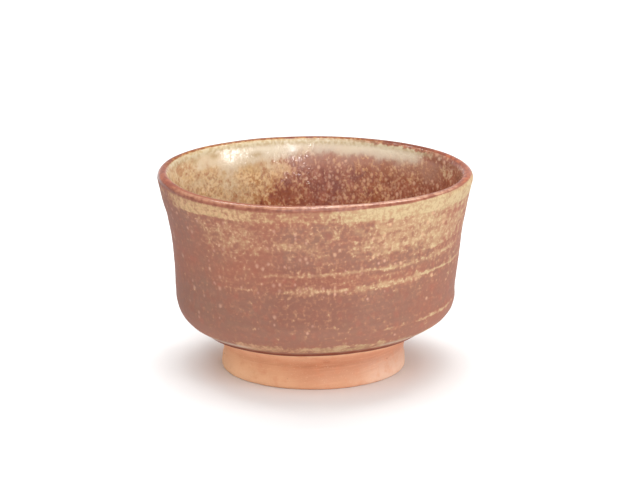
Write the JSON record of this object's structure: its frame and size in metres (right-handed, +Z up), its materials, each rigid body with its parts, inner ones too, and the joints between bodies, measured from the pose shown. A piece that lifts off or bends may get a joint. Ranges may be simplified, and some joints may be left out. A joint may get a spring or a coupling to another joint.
{
  "type": "sake cup",
  "caption": "Small footed stoneware sake cup with an upright, slightly flared wall, a rounded lip and a glaze that stops above a bare clay foot ring.",
  "frame": {"origin": "centre of the foot ring on the table plane, on the cup's axis", "axes": "+Z up along the axis of the throwing wheel; the side that the picture shows faces -Y"},
  "size_m": [0.07, 0.07, 0.045],
  "materials": {
    "bare_clay": "matte, unglazed fired clay",
    "foot_clay": "matte, unglazed fired clay with fine turning marks",
    "inner_glaze": "glossy, iron red-brown breaking to ochre and cream",
    "outer_glaze": "satin, reddish brown with cream speckle and a cream band under the lip"
  },
  "bodies": {
    "root": {"bowl_body": "bare_clay", "foot_ring": "foot_clay", "inner_glaze": "inner_glaze", "outer_glaze": "outer_glaze"}
  },
  "joints": []
}
